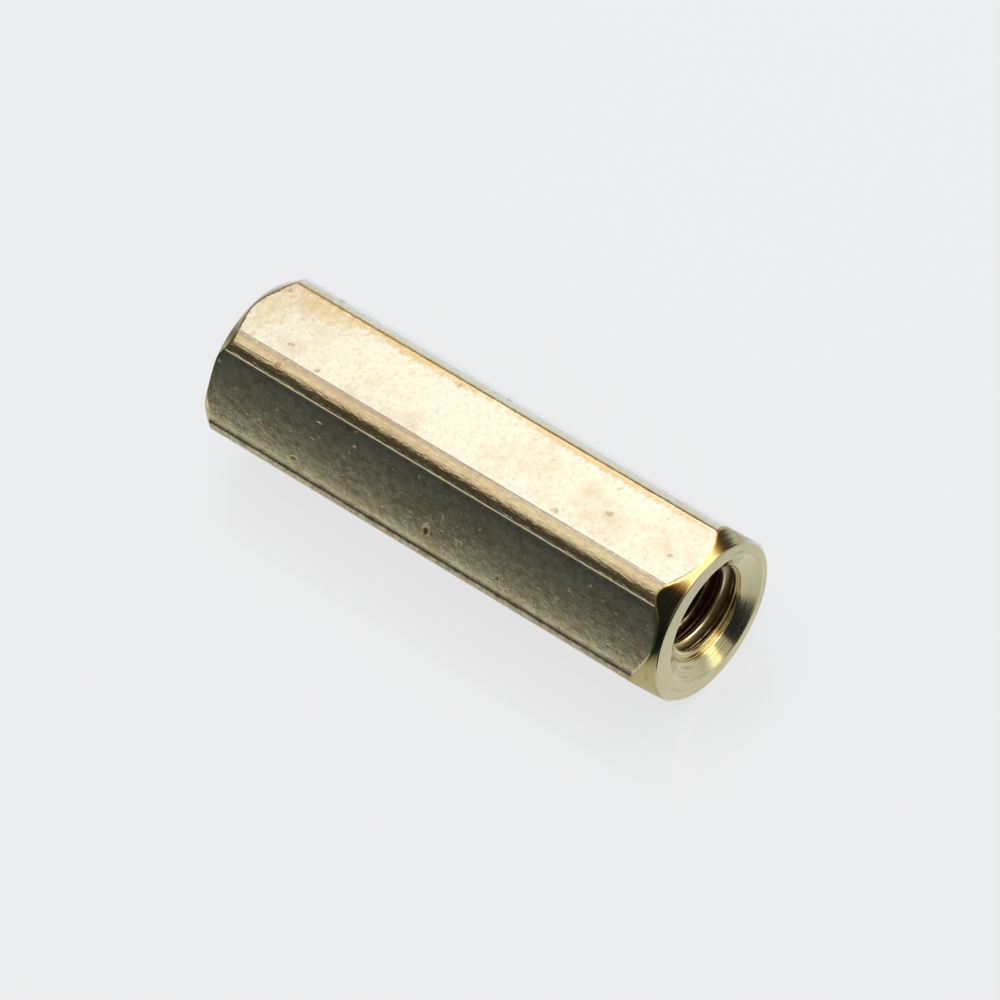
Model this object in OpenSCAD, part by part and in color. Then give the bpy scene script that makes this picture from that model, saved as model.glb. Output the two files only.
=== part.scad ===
// Tapped hexagon spacer, cut from drawn brass bar and threaded right through.
// It lies on one of its flats with its axis along X, and the origin is the middle of that flat.

/* [Bar] */
// Distance between opposite flats of the drawn bar
across_flats = 5; // [4.8:0.1:7]
// Radius that the drawing die leaves on the bar's edges
edge_r = 0.63; // [0.1:0.01:0.9]
// Smaller radius on the one edge, facing -Y, that the die leaves keener
keen_edge_r = 0.32; // [0.1:0.01:0.9]
// Length over the two end faces
bar_len = 16; // [6:0.5:50]

/* [Turned ends] */
// How far the turned chamfer bites in from the flats at the end face
chamfer_bite = 0.075; // [0.025:0.025:0.3]
// Slope of the turned chamfer, measured from the end face
chamfer_slope = 55; // [30:1:60]

/* [Threaded bore] */
// Nominal diameter of the metric thread
thread_d = 3; // [2:0.5:3]
// Pitch of the thread
thread_pitch = 0.5; // [0.35:0.05:0.5]
// How far the countersink spreads outside the thread, on the radius
sink_lip = 0.5; // [0.1:0.01:0.5]
// Included angle of the countersink, as a twist drill's point leaves it
sink_angle = 118; // [60:2:120]
// How far the bore was drilled off the bar's axis towards +Y
bore_back = 0.2; // [0:0.05:0.2]
// How far it was drilled below the bar's axis
bore_drop = 0.1; // [0:0.05:0.1]

/* [Hidden] */
$fn = 96;
cut_past = 0.5;                                   // length by which a cutter clears the face it enters
sides = 6;
keen_edge = 4;                                    // the edge that faces -Y, counted round the section from 0
half_side = 180 / sides;                          // angle from a flat's middle to the next edge
apothem = across_flats / 2;
corner_r = apothem / cos(half_side);              // bar's axis to where two flats would meet
edge_lap = 0.0002;                                // hair by which an edge's arc passes the flats it runs into
ring_r = apothem - chamfer_bite;                  // outer radius of the flat ring on the end face
bore_d = thread_d - thread_pitch;                 // tapping drill, which leaves the thread's crests
sink_r = thread_d / 2 + sink_lip;                 // countersink's radius at its mouth
sink_depth = (sink_r - bore_d / 2) / tan(sink_angle / 2);

// What the die takes off outside one edge of radius r, for an edge on the section's +X side.
module edge_waste(r) {
    edge_axis = (apothem - r) / cos(half_side);
    difference() {
        translate([edge_axis + r * cos(half_side), -r])
            square([corner_r, 2 * r]);
        translate([edge_axis, 0])
            circle(r = r + edge_lap);
    }
}

// Section of the drawn bar, with one flat facing -X.
module bar_section() {
    rotate(half_side)
        difference() {
            circle(r = corner_r, $fn = sides);
            for (i = [0 : sides - 1])
                rotate(2 * i * half_side)
                    edge_waste(i == keen_edge ? keen_edge_r : edge_r);
        }
}

// What the lathe leaves: full size along the bar, coned in to the flat ring at both ends.
module turned_envelope() {
    clear_r = corner_r + cut_past;
    clear_len = (clear_r - ring_r) * tan(chamfer_slope);
    rotate_extrude()
        polygon([
            [0, 0],
            [ring_r, 0],
            [clear_r, clear_len],
            [clear_r, bar_len - clear_len],
            [ring_r, bar_len],
            [0, bar_len]
        ]);
}

// Countersink cut down into a face at z = 0, from above.
module countersink() {
    spread = tan(sink_angle / 2);
    translate([0, 0, -sink_depth])
        cylinder(h = sink_depth + cut_past, r1 = bore_d / 2, r2 = sink_r + cut_past * spread);
}

// In the bar's own frame, +X becomes the underside once it lies down.
module threaded_bore() {
    translate([bore_drop, bore_back, 0]) {
        translate([0, 0, -cut_past])
            cylinder(h = bar_len + 2 * cut_past, d = bore_d);
        translate([0, 0, bar_len])
            countersink();
        mirror([0, 0, 1])
            countersink();
    }
}

module standoff() {
    color("#c9b67c")
        translate([-bar_len / 2, 0, apothem])
            rotate([0, 90, 0])
                difference() {
                    intersection() {
                        linear_extrude(bar_len)
                            bar_section();
                        turned_envelope();
                    }
                    threaded_bore();
                }
}

standoff();
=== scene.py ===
import bpy
import bmesh
import math
from mathutils import Euler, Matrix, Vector


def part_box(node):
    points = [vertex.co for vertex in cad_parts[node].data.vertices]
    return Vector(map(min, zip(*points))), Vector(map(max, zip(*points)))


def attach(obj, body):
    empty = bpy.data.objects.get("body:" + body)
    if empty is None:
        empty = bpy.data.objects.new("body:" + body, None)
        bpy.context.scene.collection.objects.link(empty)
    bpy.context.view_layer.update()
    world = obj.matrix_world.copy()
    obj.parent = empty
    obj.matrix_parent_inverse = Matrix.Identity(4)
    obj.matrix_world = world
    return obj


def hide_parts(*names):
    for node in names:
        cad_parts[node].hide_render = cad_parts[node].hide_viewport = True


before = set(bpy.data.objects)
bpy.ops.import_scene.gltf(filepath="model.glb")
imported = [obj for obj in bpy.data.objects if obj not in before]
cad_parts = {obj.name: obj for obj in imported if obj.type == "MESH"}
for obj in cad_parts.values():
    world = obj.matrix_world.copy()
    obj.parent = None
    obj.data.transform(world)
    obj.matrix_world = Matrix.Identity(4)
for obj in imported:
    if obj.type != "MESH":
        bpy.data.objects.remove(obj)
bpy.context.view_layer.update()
mm = 0.001
scene = bpy.context.scene


def toLinear(hexColour):
    # sRGB hex, as a colour picker shows it, to the linear values that the shaders take
    parts = [int(hexColour[i:i + 2], 16) / 255 for i in (1, 3, 5)]
    return [c / 12.92 if c <= 0.04045 else ((c + 0.055) / 1.055) ** 2.4 for c in parts] + [1.0]


def addNode(tree, kind, inputs=None, **settings):
    # one node with its settings and links; an input is a value, a hex colour, another node or one of its outputs
    node = tree.nodes.new(kind)
    for name, value in settings.items():
        setattr(node, name, value)
    for name, value in (inputs or {}).items():
        if isinstance(value, bpy.types.Node):
            value = next(socket for socket in value.outputs if socket.enabled)
        if isinstance(value, bpy.types.NodeSocket):
            tree.links.new(value, node.inputs[name])
        else:
            node.inputs[name].default_value = toLinear(value) if isinstance(value, str) else value
    return node


def newMaterial(name):
    material = bpy.data.materials.new(name)
    material.use_nodes = True
    tree = material.node_tree
    tree.nodes.clear()
    inMetres = addNode(tree, "ShaderNodeTexCoord").outputs["Object"]
    at = addNode(tree, "ShaderNodeVectorMath", {0: inMetres, 1: (1 / mm, 1 / mm, 1 / mm)}, operation="MULTIPLY")
    return material, tree, at  # the last is the place on the object in mm


def overlap(tree, *parts):
    # product of several shares; one given as (value, start, stop) rises softly from 0 to 1 between the two
    share = None
    for part in parts:
        if isinstance(part, tuple):
            part = addNode(tree, "ShaderNodeMapRange", {"Value": part[0], "From Min": part[1], "From Max": part[2]},
                           interpolation_type="SMOOTHSTEP")
        both = {0: share, 1: part}
        share = part if share is None else addNode(tree, "ShaderNodeMath", both, operation="MULTIPLY")
    return share


def zoneShare(tree, place, borders):
    # share of a zone with soft borders: each has a direction, and where along it the zone starts and is full
    parts = []
    for direction, start, stop in borders:
        along = addNode(tree, "ShaderNodeVectorMath", {0: place, 1: direction}, operation="DOT_PRODUCT")
        parts.append((along, start, stop))
    return overlap(tree, *parts)


def raggedSpot(tree, place, middle, halfSizes, noise, ragged, reach=1.2):
    # share of a round or long spot whose border wanders in and out with a noise
    aside = addNode(tree, "ShaderNodeVectorMath", {0: place, 1: middle}, operation="SUBTRACT")
    unit = addNode(tree, "ShaderNodeVectorMath", {0: aside, 1: [1 / size for size in halfSizes]}, operation="MULTIPLY")
    away = addNode(tree, "ShaderNodeVectorMath", {0: unit}, operation="LENGTH")
    wander = addNode(tree, "ShaderNodeMapRange", {
        "Value": noise, "From Min": 0.3, "From Max": 0.7, "To Min": ragged, "To Max": -ragged})
    away = addNode(tree, "ShaderNodeMath", {0: away, 1: wander}, operation="ADD")
    return overlap(tree, (away, reach, 0.3))


def paint(tree, colour, coats):
    # coats of colour laid over a first one, each with the share that it covers
    for share, coat in coats:
        colour = addNode(tree, "ShaderNodeMix", {0: share, 6: colour, 7: coat}, data_type="RGBA")
    return colour


def relief(tree, heights, normal=None):
    # bumps laid over one another: each has a height from 0 to 1, its depth in mm, and whether it goes inwards
    for height, depth, inwards in heights:
        under = {"Normal": normal} if normal else {}
        normal = addNode(tree, "ShaderNodeBump", {"Height": height, "Distance": depth * mm, **under}, invert=inwards)
    return normal


# hex standoff, sizes in mm
standoff = {
    "edgeRadii": (0.32, 0.63, 0.63, 0.63, 0.63, 0.63),  # what the die leaves on each edge, from the front one upwards
    "edgeRub": (0.5, 1.0, 0.12, 0.3, 0.3, 0.3),         # how much each of them is rubbed along the bar
    "crown": 0.006,              # how much lower a flat's borders are than its middle
    "grooveDepth": 0.0012,       # fine groove that the die leaves beside each rounded edge
    "groove": ((0.04, 0.35), (0.1, 1.0), (0.16, 0.65), (0.22, 0.0)),  # distance in from the border, share of the depth
    "keenDirtAndShade": (1.0, 1.0, 0.6, 0.7),  # dirt and painted shade on the front edge, from its borders to its middle
    "besideDirtAndShade": 0.6,           # the flats' borders beside it
    "upperDirtAndShade": 0.2,            # and the upper border of the front flat
    "ringRadius": 2.425,         # outside of the flat ring on the end face
    "ringEdge": 0.07,            # radius on its outer edge
    "chamferSlope": 55,          # degrees from the end face
    "chamferReach": 3.05,        # radius at which the chamfer has left the bar everywhere
    "chamferBlend": 0.03,        # how softly it runs out into the flats
    "sinkRadius": 2.0,           # countersink at its mouth
    "sinkAngle": 118,            # degrees across it, from a twist drill's point
    "sinkEdge": 0.05,            # radius on its rim
    "sinkFloor": 1.48,           # radius where it ends in a short step, through whose flat floor the thread starts
    "sinkDepth": 0.4,            # from the end face down to that floor
    "stepLean": 0.008,           # how much the step's wall leans
    "crestRadius": 1.25,         # bore through the thread's crests
    "threadDepth": 0.27,
    "pitch": 0.5,
    "flankAngle": 30,            # degrees
    "rootWidth": 0.05,           # half of the groove's flat bottom
    "threadTurn": -28,           # degrees, where the thread starts
    "nearCentre": (-0.03, -0.03),  # how far off the bar's axis each end was turned: front, up
    "farCentre": (0.16, 0.04),
    "boreCentre": (-0.2, -0.1),  # and where the bore was drilled
    "flatColumns": 12,
    "arcColumns": 12,
    "fineBore": 1.6,             # length of bore behind each mouth that has fine rows
    "fineRow": 0.02,
    "coarseRow": 0.125,
    "coneRows": 15,
    "chamferRows": 32,
    "bodyRows": 34,
    "seam": 0.77,                # share of the way round, in the underside's middle, where the unrolled skin is cut
}

low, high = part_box("standoff")
halfLength = (high.x - low.x) / 2 / mm
apothem = (high.z - low.z) / 2 / mm
axisHeight = apothem


def softMin(a, b, width):
    # the smaller of two lengths, with the corner between them rounded; also how much of b it is
    share = min(1.0, max(0.0, 0.5 + 0.5 * (a - b) / width))
    return a + (b - a) * share - width * share * (1 - share), share


def sectionOutline(p):
    # points of the drawn section, round from the front edge; front is x here and up is y
    # the last two numbers say how rubbed the point is, and how much dirt and painted shade it gets
    half = math.radians(30)
    groove, arc = p["groove"], p["arcColumns"]
    points = []
    for side in range(6):
        corner = 2 * half * side
        radius, nextRadius = p["edgeRadii"][side], p["edgeRadii"][(side + 1) % 6]
        edgeAxis = (apothem - radius - p["crown"]) / math.cos(half)
        for i in range(arc + 1):
            turn = corner - half + 2 * half * i / arc
            darkening = p["keenDirtAndShade"][min(i, arc - i, 3)] if side == 0 else 0.0
            points.append((edgeAxis * math.cos(corner) + radius * math.cos(turn),
                           edgeAxis * math.sin(corner) + radius * math.sin(turn), p["edgeRub"][side], darkening))
        facing = corner + half
        start = -(apothem - radius - p["crown"]) * math.tan(half)
        stop = (apothem - nextRadius - p["crown"]) * math.tan(half)
        inner = (start + groove[-1][0], stop - groove[-1][0])
        along = [(start + d, s) for d, s in groove]
        along += [(inner[0] + (inner[1] - inner[0]) * i / p["flatColumns"], 0.0) for i in range(1, p["flatColumns"])]
        along += [(stop - d, s) for d, s in reversed(groove)]
        for n, (t, share) in enumerate(along):
            darkening = 0.0
            if side == 0 and n > len(along) - 4:
                darkening = p["upperDirtAndShade"]
            elif (side == 0 and n == 0) or (side == 5 and n == len(along) - 1):
                darkening = p["besideDirtAndShade"]
            away = (2 * t - start - stop) / (stop - start)
            out = apothem - p["crown"] * away ** 2 - share * p["grooveDepth"]
            points.append((out * math.cos(facing) - t * math.sin(facing),
                           out * math.sin(facing) + t * math.cos(facing), 0.0, darkening))
    return points


def endRows(p):
    # rows of the sheet from the middle of the bore, out over the end and back to the middle of the bar
    # each says what it lies on, how far along the bar, and its radius or how far over the step's floor
    lean = math.radians(p["sinkAngle"] / 2)
    floor = halfLength - p["sinkDepth"]
    fine = floor - p["fineBore"]
    coarseCount, fineCount = round(fine / p["coarseRow"]), round(p["fineBore"] / p["fineRow"])
    rows = [("bore", fine * i / coarseCount, 0) for i in range(coarseCount)]
    rows += [("bore", fine + (p["fineBore"] - p["stepLean"]) * i / fineCount, 0) for i in range(fineCount + 1)]
    rows += [("floor", floor, s) for s in (0.06, 0.15, 0.35, 0.6, 0.85, 0.95)]
    edge, roll = p["sinkEdge"], math.pi / 2 - lean
    first, last = floor + p["stepLean"], halfLength - edge * (1 - math.cos(roll))
    rows += [("cone", first + (last - first) * i / p["coneRows"], 0) for i in range(p["coneRows"] + 1)]
    for i in (2, 1, 0):  # the countersink's rim rolls over on to the ring
        a = roll * i / 3
        rows.append(("mouth", halfLength - edge * (1 - math.cos(a)),
                     p["sinkRadius"] + edge * (math.tan(roll / 2) - math.sin(a))))
    slope, edge = math.radians(p["chamferSlope"]), p["ringEdge"]
    inside, outside = p["sinkRadius"] + 0.02, p["ringRadius"] - edge * math.tan(slope / 2)
    rows += [("ring", halfLength, inside + (outside - inside) * i / 5) for i in range(1, 5)]
    for i in range(6):  # the ring's edge rolls over into the chamfer
        a = slope * i / 5
        rows.append(("turned", halfLength - edge * (1 - math.cos(a)), outside + edge * math.sin(a)))
    start = rows[-1][2]
    for i in range(1, p["chamferRows"] + 1):
        r = start + (p["chamferReach"] - start) * i / p["chamferRows"]
        rows.append(("turned", rows[-1][1] - (r - rows[-1][2]) * math.tan(slope), r))
    last = rows[-1][1]
    rows += [("body", last * (1 - i / p["bodyRows"]), 0) for i in range(1, p["bodyRows"])]
    return rows


def threadRadius(p, x, turn):
    # right-hand metric thread cut into the bore, seen as a radius at a place along and round it
    phase = x / p["pitch"] - (turn + math.radians(p["threadTurn"])) / (2 * math.pi)
    away = abs(phase - round(phase)) * p["pitch"]  # from the middle of the groove
    flank = p["threadDepth"] * math.tan(math.radians(p["flankAngle"]))
    lift = min(1.0, max(0.0, (p["rootWidth"] + flank - away) / flank))
    lift = lift * 0.7 + 0.3 * lift * lift * (3 - 2 * lift)  # crests and roots are a little worn
    return p["crestRadius"] + p["threadDepth"] * lift


def buildStandoff(p):
    outline = sectionOutline(p)
    near = endRows(p)
    rows = [(kind, x, r, 1) for kind, x, r in near]
    rows += [("body", 0.0, 0, 1)]
    rows += [(kind, x, r, -1) for kind, x, r in reversed(near)]
    rows = rows[:-1]  # the middle of the bore is where the sheet meets itself
    columns = len(outline)
    bm = bmesh.new()
    bmesh.ops.create_grid(bm, x_segments=columns, y_segments=len(rows), size=0.5)
    turned = bm.verts.layers.float.new("turned")
    tapped = bm.verts.layers.float.new("tapped")
    rounded = bm.verts.layers.float.new("rounded")
    dirtAndShade = bm.verts.layers.float.new("dirtAndShade")
    cutAt = bm.verts.layers.float.new("cutAt")  # distance in mm from the axis of the tool that cut the surface
    steps = [math.dist(outline[i][:2], outline[i - 1][:2]) for i in range(columns)]
    around = [sum(steps[1:i + 1]) for i in range(columns)]
    columnOf = {}
    for v in bm.verts:
        column = round((v.co.x + 0.5) * columns) % columns
        kind, x, r, side = rows[round((v.co.y + 0.5) * len(rows)) % len(rows)]
        front, up, v[rounded], v[dirtAndShade] = outline[column]
        columnOf[v] = column
        toSkin = math.hypot(front, up)
        ray = (front / toSkin, up / toSkin)
        turn = math.atan2(up, -front)  # round the axis from +Y to +Z
        boreCentre = p["boreCentre"]
        if kind in ("bore", "floor", "cone"):
            radius = threadRadius(p, side * x, turn)
            if kind == "floor":
                radius += max(0, p["sinkFloor"] - radius) * r
            elif kind == "cone":
                cone = p["sinkRadius"] - (halfLength - x) * math.tan(math.radians(p["sinkAngle"] / 2))
                radius = max(radius, cone, p["sinkFloor"])
            place = (boreCentre[0] + ray[0] * radius, boreCentre[1] + ray[1] * radius)
            v[turned], v[tapped], v[cutAt] = kind != "bore", kind == "bore", radius
        elif kind == "mouth":
            place = (boreCentre[0] + ray[0] * r, boreCentre[1] + ray[1] * r)
            v[turned], v[cutAt] = 1, r
        elif kind == "body":
            place = (front, up)
        else:
            centre = p["nearCentre"] if side > 0 else p["farCentre"]
            if kind == "ring":  # from the bore's centre to the turned end's
                s = (r - p["sinkRadius"]) / (p["ringRadius"] - p["sinkRadius"])
                centre = [a * (1 - s) + b * s for a, b in zip(boreCentre, centre)]
            along = ray[0] * centre[0] + ray[1] * centre[1]
            toCone = along + math.sqrt(r * r - centre[0] ** 2 - centre[1] ** 2 + along * along)
            radius, share = softMin(toSkin, toCone, p["chamferBlend"])
            place = (ray[0] * radius, ray[1] * radius)
            v[turned], v[cutAt] = share, r
        v.co = Vector((side * x, -place[0], place[1] + axisHeight)) * mm
    # the skin unrolled in mm: along the bar, and round its section
    skin = bm.loops.layers.uv.new("skin")
    seam = sum(steps) * p["seam"]
    for f in bm.faces:
        spots = [(around[columnOf[v]] - seam) % sum(steps) for v in f.verts]
        for loop, spot in zip(f.loops, spots):
            if max(spots) - spot > 1:
                spot += sum(steps)
            loop[skin].uv = (loop.vert.co.x / mm, spot)
    bmesh.ops.remove_doubles(bm, verts=bm.verts, dist=1e-7)
    bmesh.ops.recalc_face_normals(bm, faces=bm.faces)
    for f in bm.faces:
        f.smooth = True
        corners = len(f.verts)
        if sum(v[tapped] for v in f.verts) > 0.5 * corners:
            f.material_index = 2
        elif sum(v[turned] for v in f.verts) > 0.5 * corners:
            f.material_index = 1
    mesh = bpy.data.meshes.new("threadedStandoff")
    bm.to_mesh(mesh)
    bm.free()
    piece = bpy.data.objects.new("threadedStandoff", mesh)
    scene.collection.objects.link(piece)
    print("standoff mesh:", len(mesh.vertices), "vertices,", len(mesh.polygons), "faces")
    return piece


# free-cutting brass bar, drawn through a die and tumbled clean: bright, finely dimpled, with a few pits and stains
drawnFinish = {
    "clean": "#e0daae",
    "stain": "#c9a76c",          # thin oxide, warmer than the metal
    "stainSize": 1.82,           # mm across a cloud of it
    "speckSize": 0.16,           # and across one of its specks
    "gold": "#cfae62",           # thicker oxide
    "tarnish": (                 # patches of it on the top: middle in mm, half sizes, share
        ((-6.2, 0.85, 5.0), (1.5, 0.45, 0.6), 0.55), ((-7.5, 0.0, 5.0), (0.6, 1.2, 0.5), 0.35),
        ((-3.2, 1.08, 5.0), (3.0, 0.2, 0.4), 0.75), ((3.4, 1.08, 5.0), (4.4, 0.15, 0.4), 0.75),
    ),
    "blotch": "#94703e",         # browner patches below the top, most of them in front: partly tarnish, partly painted shade on the front side
    "blotchSize": 0.3125,
    "blotchShare": 0.62,
    "grime": "#4c3a24",          # grime that stays in dents, and painted shade along and beside the front edge
    "cutEdge": "#a58c50",        # where the lathe's chamfer runs out into the drawn skin
    "rub": "#c4af92",            # rubbed lines along the rounded edges
    "edgeGrain": 0.1,            # mm from one mark to the next on those edges
    "edgeGrainDepth": 0.0152,    # mm from the lowest to the highest, most marks reach a quarter of it
    "lineWidth": 0.06,           # mm across a drawing line, coarser than the real ones so that it shows
    "lineDepth": 0.00032,
    "dimple": 0.24,              # mm from one shallow dimple to the next
    "dimpleDepth": 0.002,
    "pitColour": "#b08a50",
    "pitSpacing": 1.2,           # mm from one pit to the next
    "pitSize": 0.105,
    "pitDepth": 0.002,
    "nickSpacing": 0.5,          # the same of the tiny nicks
    "nickSize": 0.05,
    "nickDepth": 0.0014,
    "gouges": (                  # struck places on the front flat: mm along it and up it, half sizes, depth, dirt
        (0.0, -0.65, 0.13, 0.2, 0.016, 0.9), (-0.3, -0.5, 0.03, 0.14, 0.002, 0.4), (0.4, -0.1, 0.03, 0.2, 0.003, 0.6),
        (-4.2, 0.55, 0.07, 0.05, 0.004, 0.0), (-4.7, -0.84, 0.12, 0.07, 0.006, 0.7),
        (-6.6, -1.0, 0.06, 0.04, 0.003, 0.7), (-4.3, 0.0, 0.08, 0.04, 0.002, 0.6),
        (-2.9, 0.47, 0.05, 0.05, 0.004, 0.0), (2.6, -0.75, 0.06, 0.09, 0.003, 0.7),
    ),
    "roughness": 0.14,
    "film": 0.6,                 # the last of the drawing oil, which mirrors white where it is seen at a low angle
    "filmRoughness": 0.08,
}


def drawnBrass(p):
    material, tree, at = newMaterial("drawn brass")
    rounded = addNode(tree, "ShaderNodeAttribute", attribute_name="rounded").outputs["Fac"]
    dirtAndShade = addNode(tree, "ShaderNodeAttribute", attribute_name="dirtAndShade").outputs["Fac"]
    turned = addNode(tree, "ShaderNodeAttribute", attribute_name="turned").outputs["Fac"]
    unrolled = addNode(tree, "ShaderNodeUVMap", uv_map="skin")
    cloud = addNode(tree, "ShaderNodeTexNoise", {
        "Vector": at, "Scale": 1 / p["stainSize"], "Detail": 7, "Roughness": 0.72})
    speck = addNode(tree, "ShaderNodeTexNoise", {
        "Vector": at, "Scale": 1 / p["speckSize"], "Detail": 5, "Roughness": 0.75})
    clouded = addNode(tree, "ShaderNodeMapRange", {"Value": cloud, "From Min": 0.5, "From Max": 0.78, "To Max": 0.75})
    specked = addNode(tree, "ShaderNodeMapRange", {"Value": speck, "From Min": 0.5, "From Max": 0.74, "To Max": 0.6})
    patch = addNode(tree, "ShaderNodeTexNoise", {
        "Vector": at, "Scale": 1 / p["blotchSize"], "Detail": 6, "Roughness": 0.75})
    patched = addNode(tree, "ShaderNodeMapRange", {
        "Value": patch, "From Min": 0.45, "From Max": 0.75, "To Max": p["blotchShare"]})
    place = addNode(tree, "ShaderNodeSeparateXYZ", {0: at}).outputs
    # painted shade: the blotches are kept off the top and are densest on the front face
    belowTop = addNode(tree, "ShaderNodeMapRange", {"Value": place[2], "From Min": 4.85, "From Max": 4.6})
    inFront = addNode(tree, "ShaderNodeMapRange", {"Value": place[1], "From Min": 0.6, "From Max": -0.6, "To Min": 0.4})
    colour = paint(tree, p["clean"], [(clouded, p["stain"]), (specked, p["stain"]),
                                      (overlap(tree, patched, belowTop, inFront), p["blotch"])])
    for middle, halfSizes, share in p["tarnish"]:
        spot = raggedSpot(tree, at, middle, halfSizes, speck, 0.6)
        colour = paint(tree, colour, [(overlap(tree, spot, share), p["gold"])])

    # the die rubs the rounded edges along the bar, which leaves darker lines and marks there
    streaks = [0.12, 0.8 / p["lineWidth"], 0.8 / p["lineWidth"]]
    streak = addNode(tree, "ShaderNodeVectorMath", {0: at, 1: streaks}, operation="MULTIPLY")
    streak = addNode(tree, "ShaderNodeTexNoise", {"Vector": streak, "Scale": 1, "Detail": 2})
    streaked = addNode(tree, "ShaderNodeMapRange", {"Value": streak, "From Min": 0.45, "From Max": 0.68, "To Max": 0.8})
    mark = addNode(tree, "ShaderNodeVectorMath", {0: at, 1: (0.45, 1.4, 1.4)}, operation="MULTIPLY")
    mark = addNode(tree, "ShaderNodeTexNoise", {
        "Vector": mark, "Scale": 1 / p["edgeGrain"], "Detail": 3, "Roughness": 0.6})
    marked = addNode(tree, "ShaderNodeMapRange", {"Value": mark, "From Min": 0.45, "From Max": 0.65, "To Max": 0.5})

    # pits in half of the cells of a loose grid, and nicks in a finer one
    cell = addNode(tree, "ShaderNodeTexVoronoi", {"Vector": unrolled, "Scale": 1 / p["pitSpacing"]},
                   voronoi_dimensions="2D")
    chance = addNode(tree, "ShaderNodeSeparateColor", {0: cell.outputs["Color"]})
    size = addNode(tree, "ShaderNodeMapRange", {
        "Value": chance, "From Min": 0.5, "From Max": 1.0, "To Max": p["pitSize"] / p["pitSpacing"]})
    ragged = addNode(tree, "ShaderNodeMapRange", {
        "Value": speck, "From Min": 0.35, "From Max": 0.65, "To Min": -0.07, "To Max": 0.07})
    away = addNode(tree, "ShaderNodeMath", {0: cell, 1: ragged}, operation="ADD")
    inside = addNode(tree, "ShaderNodeMath", {0: size, 1: away}, operation="SUBTRACT")
    pit = addNode(tree, "ShaderNodeMapRange", {"Value": inside, "From Min": 0.0, "From Max": 0.03})
    cell = addNode(tree, "ShaderNodeTexVoronoi", {"Vector": unrolled, "Scale": 1 / p["nickSpacing"]},
                   voronoi_dimensions="2D")
    chance = addNode(tree, "ShaderNodeSeparateColor", {0: cell.outputs["Color"]})
    chosen = addNode(tree, "ShaderNodeMapRange", {"Value": chance, "From Min": 0.4, "From Max": 1.0})
    nick = addNode(tree, "ShaderNodeMapRange", {
        "Value": cell, "From Min": p["nickSize"] / p["nickSpacing"], "From Max": 0.0})

    cut = addNode(tree, "ShaderNodeMapRange", {"Value": turned, "From Min": 0.0, "From Max": 0.5, "To Max": 0.9})
    uneven = addNode(tree, "ShaderNodeMapRange", {
        "Value": speck, "From Min": 0.35, "From Max": 0.6, "To Min": 0.35, "To Max": 0.95})
    # the grime colour on the front edge and its borders is partly dirt and partly painted shade
    colour = paint(tree, colour, [
        (overlap(tree, streaked, rounded), p["rub"]), (overlap(tree, marked, rounded), p["rub"]),
        (overlap(tree, pit, 0.6), p["pitColour"]), (cut, p["cutEdge"]),
        (overlap(tree, dirtAndShade, uneven), p["grime"])])
    dimple = addNode(tree, "ShaderNodeTexNoise", {
        "Vector": at, "Scale": 1 / p["dimple"], "Detail": 3, "Roughness": 0.6})
    lines = [0.1, 1 / p["lineWidth"], 1 / p["lineWidth"]]
    line = addNode(tree, "ShaderNodeVectorMath", {0: at, 1: lines}, operation="MULTIPLY")
    line = addNode(tree, "ShaderNodeTexNoise", {"Vector": line, "Scale": 1, "Detail": 1})
    onEdge = addNode(tree, "ShaderNodeMapRange", {"Value": rounded, "From Min": 0.0, "From Max": 1.0, "To Min": 0.015})
    normal = relief(tree, [
        (dimple, p["dimpleDepth"], False), (line, p["lineDepth"], False),
        (overlap(tree, mark, onEdge), p["edgeGrainDepth"], False), (pit, p["pitDepth"], True),
        (overlap(tree, nick, chosen), p["nickDepth"], True)])
    for along, up, halfAlong, halfUp, depth, darkening in p["gouges"]:
        tilt = math.radians(30)
        middle = (along, up * math.sin(tilt) - apothem * math.cos(tilt),
                  axisHeight + apothem * math.sin(tilt) + up * math.cos(tilt))
        dent = raggedSpot(tree, at, middle, (halfAlong, 0.5, halfUp / 1.15), speck, -0.5, 1.1)
        colour = paint(tree, colour, [(overlap(tree, dent, darkening), p["grime"])])
        normal = relief(tree, [(dent, depth, True)], normal)
    shader = addNode(tree, "ShaderNodeBsdfPrincipled", {
        "Base Color": colour, "Metallic": 1.0, "Roughness": p["roughness"], "Normal": normal,
        "Coat Weight": p["film"], "Coat Roughness": p["filmRoughness"]})
    addNode(tree, "ShaderNodeOutputMaterial", {"Surface": shader})
    return material


# the same bar cut on the lathe: fine rings round the axis, cleaner metal than the drawn skin
turnedFinish = {
    "metal": "#c9c297",
    "stain": "#bfae7c",
    "stainSize": 0.625,          # mm
    "chamfer": "#a3914c",        # the outer chamfer, cut last; darker and browner, partly tarnish and partly painted shade
    "chamferFrom": (2.43, 2.47),  # radius in mm where its colour starts and is full
    "floor": "#b8a468",          # the step's floor inside the countersink
    "floorFrom": (1.5, 1.46),
    "grime": "#6e6440",          # cutting oil dried in short arcs
    "arcWidth": 0.11,            # mm from one arc to the next
    "smears": (                  # larger smears of it: degrees round, radius, half length, half width, share
        (-48, 1.62, 0.4, 0.04, 0.45), (-38, 1.84, 0.55, 0.03, 0.35), (-28, 1.72, 0.4, 0.03, 0.3),
        (130, 2.12, 0.35, 0.07, 0.3),
    ),
    "ringWidth": 0.05,           # mm from one ring to the next, coarser than the real feed so that it shows
    "ringDepth": 0.002,
    "roughness": 0.15,
    "film": 0.6,
    "filmRoughness": 0.08,
}


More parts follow.
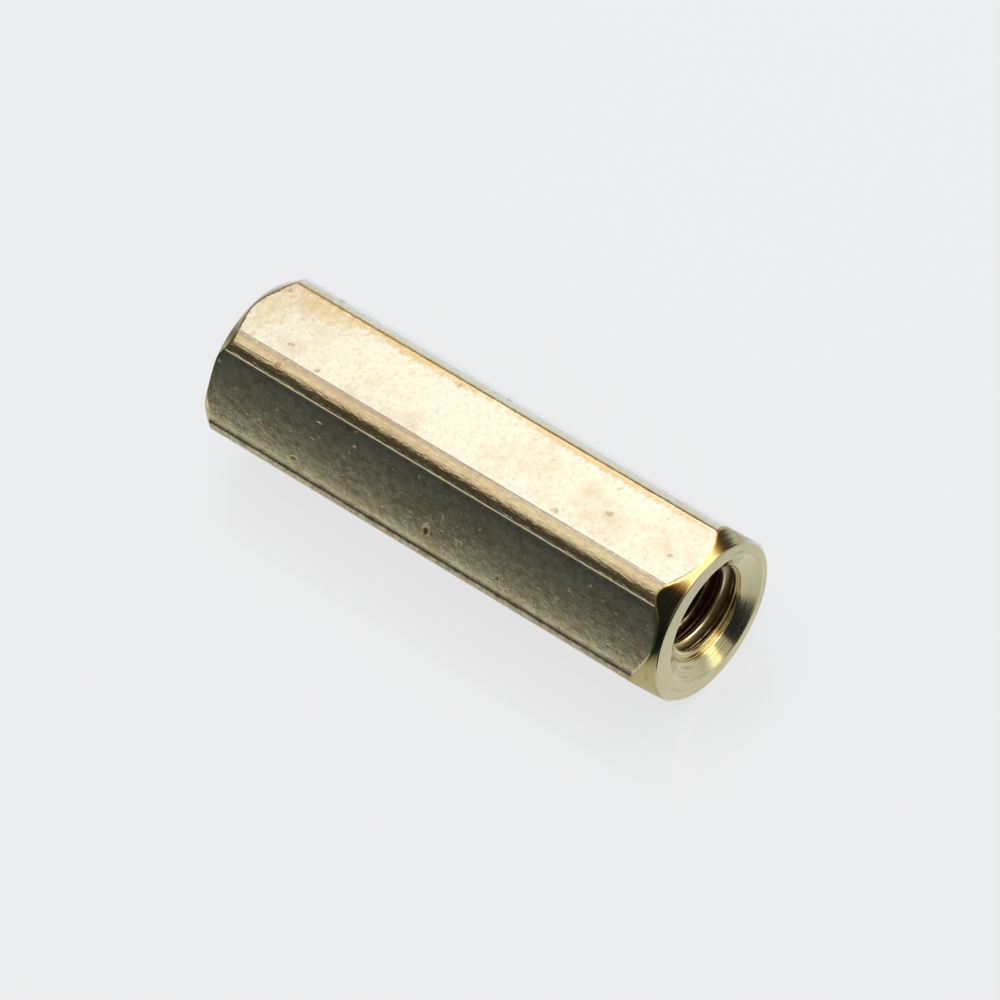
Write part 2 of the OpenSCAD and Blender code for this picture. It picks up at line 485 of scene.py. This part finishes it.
def turnedBrass(p):
    material, tree, at = newMaterial("turned brass")
    radius = addNode(tree, "ShaderNodeAttribute", attribute_name="cutAt").outputs["Fac"]
    fromAxis = addNode(tree, "ShaderNodeVectorMath", {0: at, 1: (0, 0, axisHeight)}, operation="SUBTRACT")
    place = addNode(tree, "ShaderNodeSeparateXYZ", {0: fromAxis}).outputs
    angle = addNode(tree, "ShaderNodeMath", {0: place[2], 1: place[1]}, operation="ARCTAN2")
    out = addNode(tree, "ShaderNodeMath", {0: radius, 1: 1 / p["ringWidth"]}, operation="MULTIPLY")
    ring = addNode(tree, "ShaderNodeTexNoise", {"W": out, "Scale": 1, "Detail": 3}, noise_dimensions="1D")
    patch = addNode(tree, "ShaderNodeTexNoise", {
        "Vector": at, "Scale": 1 / p["stainSize"], "Detail": 5, "Roughness": 0.65})
    out = addNode(tree, "ShaderNodeMath", {0: radius, 1: 1 / p["arcWidth"]}, operation="MULTIPLY")
    polar = addNode(tree, "ShaderNodeCombineXYZ", {0: out, 1: angle})
    arc = addNode(tree, "ShaderNodeTexNoise", {"Vector": polar, "Scale": 1, "Detail": 4, "Roughness": 0.6})
    stained = addNode(tree, "ShaderNodeMapRange", {"Value": patch, "From Min": 0.5, "From Max": 0.75, "To Max": 0.35})
    # the chamfer's darker colour is partly painted shade
    start, stop = p["chamferFrom"]
    chamfered = addNode(tree, "ShaderNodeMapRange", {
        "Value": radius, "From Min": start, "From Max": stop, "To Max": 0.6})
    patchy = addNode(tree, "ShaderNodeMapRange", {"Value": arc, "From Min": 0.55, "From Max": 0.75, "To Max": 0.6})
    uneven = addNode(tree, "ShaderNodeMapRange", {"Value": arc, "From Min": 0.4, "From Max": 0.6, "To Min": 0.5})
    colour = paint(tree, p["metal"], [
        (stained, p["stain"]), (chamfered, p["chamfer"]), (patchy, p["grime"]),
        (overlap(tree, (radius, *p["floorFrom"]), uneven), p["floor"])])
    for degrees, smearRadius, halfLong, halfWide, share in p["smears"]:
        a = math.radians(degrees)
        roundWay, outWay = (0, math.sin(a), math.cos(a)), (0, -math.cos(a), math.sin(a))
        aside = addNode(tree, "ShaderNodeVectorMath", {0: fromAxis, 1: roundWay}, operation="DOT_PRODUCT")
        across = addNode(tree, "ShaderNodeVectorMath", {0: fromAxis, 1: outWay}, operation="DOT_PRODUCT")
        opposite = addNode(tree, "ShaderNodeMapRange", {"Value": across, "From Min": 0.3, "From Max": -0.3})
        local = addNode(tree, "ShaderNodeCombineXYZ", {0: aside, 1: radius, 2: opposite})
        smear = raggedSpot(tree, local, (0, smearRadius, 0), (halfLong, halfWide, 1 / 9), patch, -0.6)
        colour = paint(tree, colour, [(overlap(tree, smear, share), p["grime"])])
    shader = addNode(tree, "ShaderNodeBsdfPrincipled", {
        "Base Color": colour, "Metallic": 1.0, "Roughness": p["roughness"],
        "Normal": relief(tree, [(ring, p["ringDepth"], False)]),
        "Coat Weight": p["film"], "Coat Roughness": p["filmRoughness"]})
    addNode(tree, "ShaderNodeOutputMaterial", {"Surface": shader})
    return material


# thread cut with a tap: bright burnished crests, with painted shade: darker brown down in the grooves and deeper inside
# the bore
tappedFinish = {
    "crest": "#e8e0bc",
    # painted shade down in the grooves
    "groove": "#74543c",
    "grooveShadeFrom": (1.4, 1.5),    # radius in mm where the groove's painted shade starts and is full
    "boreShade": "#6c483c",            # painted shade deeper inside the bore
    "boreShadeFrom": (7.08, 6.85),     # mm from the middle of the bar
    "grain": 0.167,              # mm from one grain of grime to the next
    "grainDepth": 0.003,
    "roughness": 0.3,
}


def tappedBrass(p):
    material, tree, at = newMaterial("tapped brass")
    radius = addNode(tree, "ShaderNodeAttribute", attribute_name="cutAt").outputs["Fac"]
    grain = addNode(tree, "ShaderNodeTexNoise", {
        "Vector": at, "Scale": 1 / p["grain"], "Detail": 4, "Roughness": 0.7})
    start, stop = p["grooveShadeFrom"]
    deep = addNode(tree, "ShaderNodeMapRange", {"Value": radius, "From Min": start, "From Max": stop})
    dull = addNode(tree, "ShaderNodeMapRange", {"Value": grain, "From Min": 0.35, "From Max": 0.6, "To Min": 0.7})
    along = addNode(tree, "ShaderNodeSeparateXYZ", {0: at})
    along = addNode(tree, "ShaderNodeMath", {0: along}, operation="ABSOLUTE")
    start, stop = p["boreShadeFrom"]
    inside = addNode(tree, "ShaderNodeMapRange", {"Value": along, "From Min": start, "From Max": stop})
    patchy = addNode(tree, "ShaderNodeMapRange", {
        "Value": grain, "From Min": 0.35, "From Max": 0.65, "To Min": 0.95, "To Max": 0.6})
    # painted shade: darker in the grooves and deeper inside the bore
    colour = paint(tree, p["crest"], [
        (overlap(tree, deep, dull), p["groove"]), (overlap(tree, inside, patchy), p["boreShade"])])
    shader = addNode(tree, "ShaderNodeBsdfPrincipled", {
        "Base Color": colour, "Metallic": 1.0, "Roughness": p["roughness"],
        "Normal": relief(tree, [(grain, p["grainDepth"], False)])})
    addNode(tree, "ShaderNodeOutputMaterial", {"Surface": shader})
    return material


piece = buildStandoff(standoff)
for brass in (drawnBrass(drawnFinish), turnedBrass(turnedFinish), tappedBrass(tappedFinish)):
    piece.data.materials.append(brass)
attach(piece, "root")
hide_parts("standoff")
print("standoff done")

# smooth white acrylic sheet that gives a faint mirror image; its own glow keeps the shadow soft
# a zone's borders are directions on the sheet, measured in mm from below the standoff's right end
table = {
    "colour": "#eeeff0",
    "size": 92,                  # mm
    "roughness": 0.12,
    "glow": 0.82,
    "dark": "#1d222d",           # painted shade on the sheet, seen only in the metal's reflections: past the right end and in front
    "paintedShadeZones": (
        (1.0, (((1, 0, 0), 2.7, 3.3), ((-0.55, 1, 0), 0.2, -1.2), ((0.75, 1, 0), -4.0, -2.0))),
        (1.0, (((0.55, -0.85, 0), 3.5, 16.0), ((1, 0, 0), 1.0, 3.0))),
        (0.7, (((-0.55, 1, 0), 1.0, 1.8), ((-0.55, 1, 0), 5.0, 3.5), ((1, 0, 0), 2.5, 5.0))),
        (0.14, (((1, 0, 0), 0.8, 2.8),)),
    ),
    "streak": "#ffffff",         # painted light: a bright streak across the sheet, seen only in the metal's reflections
    "streakLevel": 1.3,
    "streakZone": (((-0.55, 1, 0), -1.2, 0.2), ((-0.55, 1, 0), 1.8, 0.9), ((1, 0, 0), 3.0, 5.0)),
    "back": "#d2ddff",           # painted light: a cooler glow on the sheet behind, seen only in the metal's reflections
    "backLevel": 1.4,
    "backZone": (((0, 1, 0), 5.0, 7.0), ((1, 0, 0), 4.0, 2.0)),
}


def buildTable(p):
    bm = bmesh.new()
    bmesh.ops.create_grid(bm, x_segments=1, y_segments=1, size=p["size"] / 2 * mm)
    mesh = bpy.data.meshes.new("tableTop")
    bm.to_mesh(mesh)
    bm.free()
    top = bpy.data.objects.new("tableTop", mesh)
    scene.collection.objects.link(top)
    material, tree, at = newMaterial("white acrylic sheet")
    path = addNode(tree, "ShaderNodeLightPath").outputs
    seen = addNode(tree, "ShaderNodeMath", {0: path["Is Camera Ray"], 1: path["Is Glossy Ray"]}, operation="MAXIMUM")
    seen = addNode(tree, "ShaderNodeMath", {0: seen, 1: path["Is Transmission Ray"]}, operation="MAXIMUM")
    sheet = addNode(tree, "ShaderNodeBsdfPrincipled", {"Base Color": p["colour"], "Roughness": p["roughness"]})
    glow = addNode(tree, "ShaderNodeEmission", {"Color": p["colour"], "Strength": 1.0})
    surface = addNode(tree, "ShaderNodeMixShader", {0: overlap(tree, seen, p["glow"]), 1: sheet, 2: glow})
    # painted light and painted shade on the sheet, which only the metal's reflections see
    fromEnd = addNode(tree, "ShaderNodeVectorMath", {0: at, 1: (halfLength, 0, 0)}, operation="SUBTRACT")
    back = zoneShare(tree, fromEnd, p["backZone"])
    backGlow = addNode(tree, "ShaderNodeEmission", {"Color": p["back"], "Strength": p["backLevel"]})
    surface = addNode(tree, "ShaderNodeMixShader", {
        0: overlap(tree, back, path["Is Glossy Ray"]), 1: surface, 2: backGlow})
    lit = zoneShare(tree, fromEnd, p["streakZone"])
    other = lit
    for share, borders in p["paintedShadeZones"]:
        dark = overlap(tree, zoneShare(tree, fromEnd, borders), share)
        other = addNode(tree, "ShaderNodeMath", {0: other, 1: dark}, operation="MAXIMUM")
    level = addNode(tree, "ShaderNodeMapRange", {"Value": lit, "To Min": 1.0, "To Max": p["streakLevel"]})
    otherGlow = addNode(tree, "ShaderNodeEmission", {
        "Color": paint(tree, p["dark"], [(lit, p["streak"])]), "Strength": level})
    surface = addNode(tree, "ShaderNodeMixShader", {
        0: overlap(tree, other, path["Is Glossy Ray"]), 1: surface, 2: otherGlow})
    addNode(tree, "ShaderNodeOutputMaterial", {"Surface": surface})
    top.data.materials.append(material)
    return top


buildTable(table)

# pale wall to the eye; what the metal mirrors is a dim room with daylight behind and a tall window to the right
# a zone's borders are directions in the room: x to the right, y to the back, z up
room = {
    "wall": "#e9ebed",
    "ambient": 0.55,             # even light from all round
    "dim": "#3f444f",            # close to the floor
    "layers": (                  # laid over that, each over the ones before it
        ("#4f463c", (((0, 0, 1), 0.05, 0.3),)),                                          # shelves
        ("#141826", (((1, 0, 0), 0.36, 0.52),)),                                         # night to the right
        ("#8f897c", (((1, 0, 0), -0.05, 0.2), ((1, 0, 0), 0.62, 0.5), ((0, 0, 1), 0.3, 0.45))),  # pale ceiling over it
        ("#8f897c", (((1, 0, 0), 0.74, 0.84), ((0, 0, 1), 0.1, 0.22))),                  # pale side walls
        ("#8f897c", (((-1, 0, 0), 0.74, 0.84), ((0, 0, 1), 0.1, 0.22))),
        ("#4f463c", (((0, 1, 0), 0.6, 0.75),)),                                          # more shelves at the back
        ("#7a5c38", (((-1, 0, 0), 0.5, 0.65), ((0, 1, 0), 0.2, 0.35))),                  # brown corner to the left
    ),
    "daylight": "#dbe2ff",
    "dayLevel": 1.24,
    "dayZone": (((0, 1, 0), 0.05, 0.3), ((0, 0, 1), 0.62, 0.5), ((1, 0, 0), 0.33, 0.25)),
    "lath": "#cfb07c",           # wooden lath over the daylight
    "lathLevel": 1.1,
    "lathZone": (((0, 1, 0), 0.5, 0.54), ((0, 1, 0), 0.66, 0.6), ((0, 0, 1), 0.55, 0.6), ((-1, 0, 0), 0.2, 0.3)),
    "window": "#efe9dc",
    "windowLevel": 3.2,
    "windowZone": (((0, 1, 0), -0.14, 0.12), ((0, 1, 0), 0.84, 0.66)),
    "sky": (0.2, 0.4),           # height at which the window gets its full level
    "frame": "#a8742e",
    "frameZone": (((0, 1, 0), -0.2, -0.14),),
    "openingZone": (((1, 0, 0), -0.1, 0.05),),
    "sill": (0.28, 0.38),        # height of the window's lower border
    "doorZone": (((0, 1, 0), 0.1, 0.3), ((1, 0, 0), 0.55, 0.7)),  # where it reaches down to the floor
}


def buildRoom(p):
    world = bpy.data.worlds.new("studio")
    scene.world = world
    world.use_nodes = True
    tree = world.node_tree
    tree.nodes.clear()
    way = addNode(tree, "ShaderNodeTexCoord").outputs["Generated"]
    height = addNode(tree, "ShaderNodeSeparateXYZ", {0: way}).outputs[2]
    day = zoneShare(tree, way, p["dayZone"])
    lath = zoneShare(tree, way, p["lathZone"])
    aboveSill = addNode(tree, "ShaderNodeMath", {0: height, 1: zoneShare(tree, way, p["doorZone"])}, operation="ADD")
    opening = overlap(tree, zoneShare(tree, way, p["openingZone"]), (aboveSill, *p["sill"]))
    framed = overlap(tree, opening, zoneShare(tree, way, p["frameZone"]))
    window = overlap(tree, opening, zoneShare(tree, way, p["windowZone"]))
    colour = paint(tree, p["dim"], [(zoneShare(tree, way, borders), coat) for coat, borders in p["layers"]])
    colour = paint(tree, colour, [(day, p["daylight"]), (lath, p["lath"]), (framed, p["frame"]), (window, p["window"])])
    sky = overlap(tree, window, (height, *p["sky"]))
    levels = [addNode(tree, "ShaderNodeMapRange", {"Value": share, "To Min": 1.0, "To Max": level})
              for share, level in ((day, p["dayLevel"]), (sky, p["windowLevel"]), (lath, p["lathLevel"]))]
    path = addNode(tree, "ShaderNodeLightPath").outputs
    seen = addNode(tree, "ShaderNodeMath", {0: path["Is Camera Ray"], 1: path["Is Transmission Ray"]},
                   operation="MAXIMUM")
    ambient = addNode(tree, "ShaderNodeBackground", {"Color": (1, 1, 1, 1), "Strength": p["ambient"]})
    mirrored = addNode(tree, "ShaderNodeBackground", {"Color": colour, "Strength": overlap(tree, *levels)})
    wall = addNode(tree, "ShaderNodeBackground", {"Color": p["wall"], "Strength": 1.0})
    surface = addNode(tree, "ShaderNodeMixShader", {0: path["Is Glossy Ray"], 1: ambient, 2: mirrored})
    surface = addNode(tree, "ShaderNodeMixShader", {0: seen, 1: surface, 2: wall})
    addNode(tree, "ShaderNodeOutputWorld", {"Surface": surface})


buildRoom(room)
print("room done")

# each lamp: where its middle is in mm, how large it is, how bright its face is, its tint, and if it turns to the part
lamps = {
    "overheadPanel": {"at": (-100, -61, 300), "size": (460, 330), "glow": 0.95, "tint": "#fff4ec", "turned": False},
    "hotStrip": {"at": (-60, 188, 299), "size": (280, 134), "glow": 2.05, "tint": "#d6d8f4", "turned": False},
    "sideWindow": {"at": (150, 80, 8), "size": (36, 24), "glow": 3.0, "tint": "#fff0b8", "turned": True},
}


def buildLamps(wanted):
    for name, p in wanted.items():
        data = bpy.data.lights.new(name, "AREA")
        data.shape = "RECTANGLE"
        data.size, data.size_y = (s * mm for s in p["size"])
        data.color = toLinear(p["tint"])[:3]
        # a flat lamp of area A that glows with radiance L gives off pi * A * L watts
        data.energy = math.pi * data.size * data.size_y * p["glow"]
        lamp = bpy.data.objects.new(name, data)
        lamp.location = Vector(p["at"]) * mm
        if p["turned"]:
            lamp.rotation_mode = "QUATERNION"
            lamp.rotation_quaternion = lamp.location.to_track_quat("Z", "Y")
        scene.collection.objects.link(lamp)


buildLamps(lamps)

# camera: place in mm, turn in degrees, focal length in mm on a 36 mm sensor
cameraPlace = {"at": (107.455, -103.358, 196.09), "turn": (37.1973, 5.1704, 39.207), "lens": 318.292, "sensor": 36}


def placeCamera(p):
    data = bpy.data.cameras.new("camera")
    data.sensor_width = p["sensor"]
    data.lens = p["lens"]
    data.clip_start, data.clip_end = 0.01, 10
    camera = bpy.data.objects.new("camera", data)
    camera.location = Vector(p["at"]) * mm
    camera.rotation_euler = Euler([math.radians(a) for a in p["turn"]], "XYZ")
    scene.collection.objects.link(camera)
    scene.camera = camera


placeCamera(cameraPlace)
scene.view_settings.view_transform = "Standard"
print("floor, lamps and camera done")
